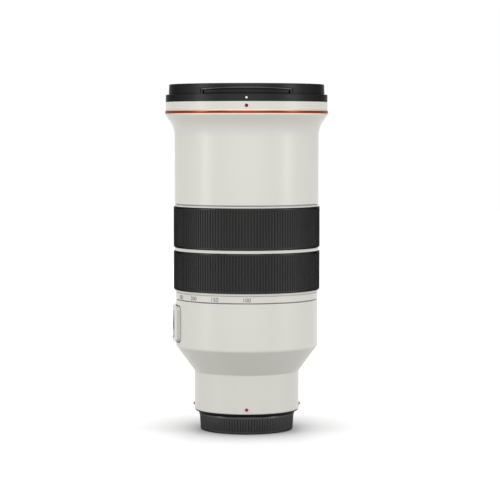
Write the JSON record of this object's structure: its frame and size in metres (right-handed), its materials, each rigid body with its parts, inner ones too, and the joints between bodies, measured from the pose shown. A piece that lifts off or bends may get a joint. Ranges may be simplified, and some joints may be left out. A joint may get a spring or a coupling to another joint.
{
  "type": "super telephoto lens",
  "caption": "White super telephoto zoom lens standing on its rear cap, with two ribbed rubber rings, a flared front, a side switch panel and pinch front cap.",
  "frame": {"origin": "the optical axis at the underside of the rear cap, which the lens stands on", "axes": "+Z along the optical axis to the front of the lens, -Y towards the number band and the red dots, -X towards the switch panel"},
  "size_m": [0.1162, 0.1162, 0.2465],
  "materials": {
    "white_paint": "warm light grey satin enamel on cast aluminium",
    "sleeve_paint": "warm light grey satin enamel on a machined aluminium tube",
    "switch_panel_plastic": "matt light grey with a dark sunk field",
    "rubber": "matt ribbed rubber",
    "black_plastic": "fine matt black moulding",
    "knob_plastic": "dark grey ribbed knob",
    "black_metal": "matt black anodised aluminium",
    "mount_metal": "bright lathe-turned metal",
    "bright_steel": "ground steel",
    "motor_metal": "grey ceramic and steel",
    "copper_coil": "varnished copper wire",
    "gold_contact": "gold plating",
    "accent_red": "glossy orange-red anodised aluminium",
    "dot_red": "glossy dark red",
    "lens_glass": "coated optical glass",
    "blade_black": "matt black coated steel leaf",
    "circuit_board": "green solder mask with black chips"
  },
  "bodies": {
    "lens_body": {"rear_barrel": "white_paint", "body_sleeve": "sleeve_paint", "spacer_ring": "white_paint", "guide_barrel": "black_metal", "index_dots": "dot_red", "switch_panel": "switch_panel_plastic", "mount_plate": "mount_metal", "mount_screws": "bright_steel", "mount_seal": "rubber", "contact_block": "black_plastic", "contact_pins": "gold_contact", "rear_baffle": "black_plastic", "rear_lens_cell": "black_metal", "rear_element": "lens_glass", "main_board": "circuit_board", "iris_housing": "black_plastic", "iris_coil": "copper_coil", "stabiliser_base": "black_plastic", "stabiliser_coils": "copper_coil", "focus_guide_rods": "bright_steel", "focus_motor": "motor_metal"},
    "zoom_control": {"zoom_ring": "white_paint", "zoom_grip": "rubber", "zoom_key": "bright_steel", "cam_barrel": "black_metal"},
    "front_group": {"front_barrel": "white_paint", "front_bezel": "white_paint", "accent_ring": "accent_red", "hood_mount_ring": "black_metal", "front_lens_cell": "black_metal", "front_element": "lens_glass", "front_doublet": "lens_glass", "front_retaining_ring": "black_metal", "extension_tube": "black_metal", "front_followers": "bright_steel"},
    "variator_group": {"variator_cell": "black_metal", "variator_element": "lens_glass"},
    "focus_control": {"focus_ring": "black_metal", "focus_grip": "rubber"},
    "focus_group": {"focus_cell": "black_metal", "focus_element": "lens_glass"},
    "stabiliser_guide": {"stabiliser_shaft": "bright_steel"},
    "stabiliser_carriage": {"stabiliser_frame": "black_plastic", "stabiliser_element": "lens_glass"},
    "iris_ring": {"iris_drive_ring": "black_plastic"},
    "blade_1": {"iris_blade_1": "blade_black"},
    "blade_2": {"iris_blade_2": "blade_black"},
    "blade_3": {"iris_blade_3": "blade_black"},
    "blade_4": {"iris_blade_4": "blade_black"},
    "blade_5": {"iris_blade_5": "blade_black"},
    "blade_6": {"iris_blade_6": "blade_black"},
    "blade_7": {"iris_blade_7": "blade_black"},
    "front_cover": {"front_cap": "black_plastic"},
    "front_pinch_tab": {"front_cap_tab_front": "black_plastic"},
    "back_pinch_tab": {"front_cap_tab_back": "black_plastic"},
    "rear_cover": {"rear_cap": "black_plastic"},
    "switch_1": {"switch_knob_1": "knob_plastic"},
    "switch_2": {"switch_knob_2": "knob_plastic"},
    "switch_3": {"switch_knob_3": "knob_plastic"}
  },
  "joints": [
    {"name": "zoom_turn", "type": "hinge", "parent": "lens_body", "child": "zoom_control", "pos_m": [0, 0, 0.1], "axis": [0, 0, 1], "range_deg": [0, 90]},
    {"name": "front_extend", "type": "slide", "parent": "lens_body", "child": "front_group", "axis": [0, 0, 1], "range_m": [0, 0.046]},
    {"name": "variator_slide", "type": "slide", "parent": "lens_body", "child": "variator_group", "axis": [0, 0, -1], "range_m": [0, 0.014]},
    {"name": "focus_ring_turn", "type": "hinge", "parent": "lens_body", "child": "focus_control", "pos_m": [0, 0, 0.1455], "axis": [0, 0, 1], "continuous": true},
    {"name": "focus_slide", "type": "slide", "parent": "lens_body", "child": "focus_group", "axis": [0, 0, 1], "range_m": [0, 0.01]},
    {"name": "stabiliser_sideways", "type": "slide", "parent": "lens_body", "child": "stabiliser_guide", "axis": [1, 0, 0], "range_m": [-0.001, 0.001], "stiffness_N_per_m": 200},
    {"name": "stabiliser_up_down", "type": "slide", "parent": "stabiliser_guide", "child": "stabiliser_carriage", "axis": [0, 1, 0], "range_m": [-0.001, 0.001], "stiffness_N_per_m": 200},
    {"name": "iris_drive", "type": "hinge", "parent": "lens_body", "child": "iris_ring", "pos_m": [0, 0, 0.0713], "axis": [0, 0, 1], "range_deg": [0, 6.37]},
    {"name": "blade_1_swing", "type": "hinge", "parent": "lens_body", "child": "blade_1", "pos_m": [0.0195, 0, 0.0693], "axis": [0, 0, 1], "range_deg": [0, 32]},
    {"name": "blade_2_swing", "type": "hinge", "parent": "lens_body", "child": "blade_2", "pos_m": [0.01216, 0.01525, 0.0693], "axis": [0, 0, 1], "range_deg": [0, 32]},
    {"name": "blade_3_swing", "type": "hinge", "parent": "lens_body", "child": "blade_3", "pos_m": [-0.00434, 0.01901, 0.0693], "axis": [0, 0, 1], "range_deg": [0, 32]},
    {"name": "blade_4_swing", "type": "hinge", "parent": "lens_body", "child": "blade_4", "pos_m": [-0.01757, 0.00846, 0.0693], "axis": [0, 0, 1], "range_deg": [0, 32]},
    {"name": "blade_5_swing", "type": "hinge", "parent": "lens_body", "child": "blade_5", "pos_m": [-0.01757, -0.00846, 0.0693], "axis": [0, 0, 1], "range_deg": [0, 32]},
    {"name": "blade_6_swing", "type": "hinge", "parent": "lens_body", "child": "blade_6", "pos_m": [-0.00434, -0.01901, 0.0693], "axis": [0, 0, 1], "range_deg": [0, 32]},
    {"name": "blade_7_swing", "type": "hinge", "parent": "lens_body", "child": "blade_7", "pos_m": [0.01216, -0.01525, 0.0693], "axis": [0, 0, 1], "range_deg": [0, 32]},
    {"name": "front_cap_lift", "type": "slide", "parent": "front_group", "child": "front_cover", "axis": [0, 0, 1], "range_m": [0, 0.03]},
    {"name": "front_tab_pinch", "type": "slide", "parent": "front_cover", "child": "front_pinch_tab", "axis": [0, 1, 0], "range_m": [0, 0.0025], "stiffness_N_per_m": 800, "springref_m": -0.001},
    {"name": "back_tab_pinch", "type": "slide", "parent": "front_cover", "child": "back_pinch_tab", "axis": [0, -1, 0], "range_m": [0, 0.0025], "stiffness_N_per_m": 800, "springref_m": -0.001},
    {"name": "rear_cap_lift", "type": "slide", "parent": "lens_body", "child": "rear_cover", "axis": [0, 0, -1], "range_m": [0, 0.03]},
    {"name": "switch_1_slide", "type": "slide", "parent": "lens_body", "child": "switch_1", "axis": [0, 0, 1], "range_m": [0, 0.004]},
    {"name": "switch_2_slide", "type": "slide", "parent": "lens_body", "child": "switch_2", "axis": [0, 0, 1], "range_m": [0, 0.004]},
    {"name": "switch_3_slide", "type": "slide", "parent": "lens_body", "child": "switch_3", "axis": [0, 0, 1], "range_m": [0, 0.004]}
  ],
  "couplings": [
    {"joint": "front_extend", "follows": "zoom_turn", "m_per_rad": 0.029285},
    {"joint": "variator_slide", "follows": "zoom_turn", "m_per_rad": 0.0089126},
    {"joint": "blade_1_swing", "follows": "iris_drive", "ratio": 5.0249},
    {"joint": "blade_2_swing", "follows": "iris_drive", "ratio": 5.0249},
    {"joint": "blade_3_swing", "follows": "iris_drive", "ratio": 5.0249},
    {"joint": "blade_4_swing", "follows": "iris_drive", "ratio": 5.0249},
    {"joint": "blade_5_swing", "follows": "iris_drive", "ratio": 5.0249},
    {"joint": "blade_6_swing", "follows": "iris_drive", "ratio": 5.0249},
    {"joint": "blade_7_swing", "follows": "iris_drive", "ratio": 5.0249}
  ]
}
